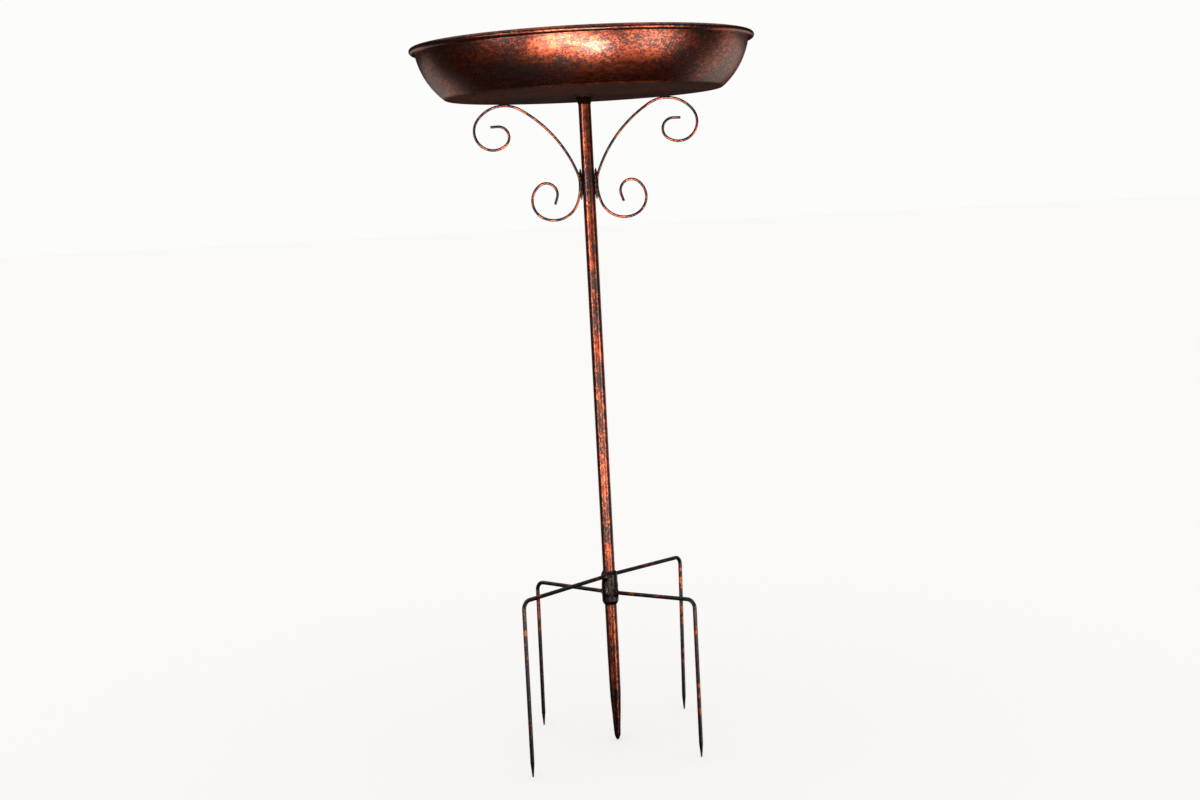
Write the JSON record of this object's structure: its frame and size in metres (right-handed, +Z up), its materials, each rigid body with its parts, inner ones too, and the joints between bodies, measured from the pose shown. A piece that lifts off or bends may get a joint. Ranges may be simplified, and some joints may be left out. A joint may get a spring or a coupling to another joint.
{
  "type": "bird feeder on pole",
  "caption": "Shallow round metal bowl with a rolled rim, screwed to a slim pole with wire scrolls under it and a spike with prongs at its foot.",
  "frame": {"origin": "on the pole's axis, at the level of the tips of the spike and the four prongs", "axes": "+Z up along the pole; the two scrolls lie in the XZ plane, one on each side; -Y is the front"},
  "size_m": [0.3298, 0.3298, 0.6892],
  "materials": {
    "antique_copper": "satin copper rubbed over a dark brown coat, mottled and streaked",
    "weld_black": "lumpy weld under the dark coat",
    "zinc_steel": "bright zinc plate",
    "black_rubber": "matt"
  },
  "bodies": {
    "stand": {"pole_tube": "antique_copper", "support_plate": "antique_copper", "plate_weld": "weld_black", "threaded_insert": "zinc_steel", "ground_spike": "antique_copper", "prong_front_left": "antique_copper", "prong_back_right": "antique_copper", "prong_front_right": "antique_copper", "prong_back_left": "antique_copper", "hub_weld_upper": "weld_black", "hub_weld_lower": "weld_black", "scroll_right": "antique_copper", "scroll_left": "antique_copper", "scroll_weld_right_front": "weld_black", "scroll_weld_right_back": "weld_black", "scroll_weld_left_front": "weld_black", "scroll_weld_left_back": "weld_black"},
    "bowl": {"bowl": "antique_copper"},
    "washers": {"screw_washer": "zinc_steel", "sealing_washer": "black_rubber"},
    "screw": {"bowl_screw": "zinc_steel"}
  },
  "joints": [
    {"name": "bowl_lift", "type": "slide", "parent": "stand", "child": "bowl", "axis": [0, 0, 1], "range_m": [0, 0.06]},
    {"name": "screw_rise", "type": "slide", "parent": "bowl", "child": "washers", "axis": [0, 0, 1], "range_m": [0, 0.015]},
    {"name": "screw_turn", "type": "hinge", "parent": "washers", "child": "screw", "pos_m": [0, 0, 0.6427], "axis": [0, 0, 1], "range_deg": [0, 5400]}
  ],
  "couplings": [
    {"joint": "screw_turn", "follows": "screw_rise", "rad_per_m": 6283.2}
  ]
}
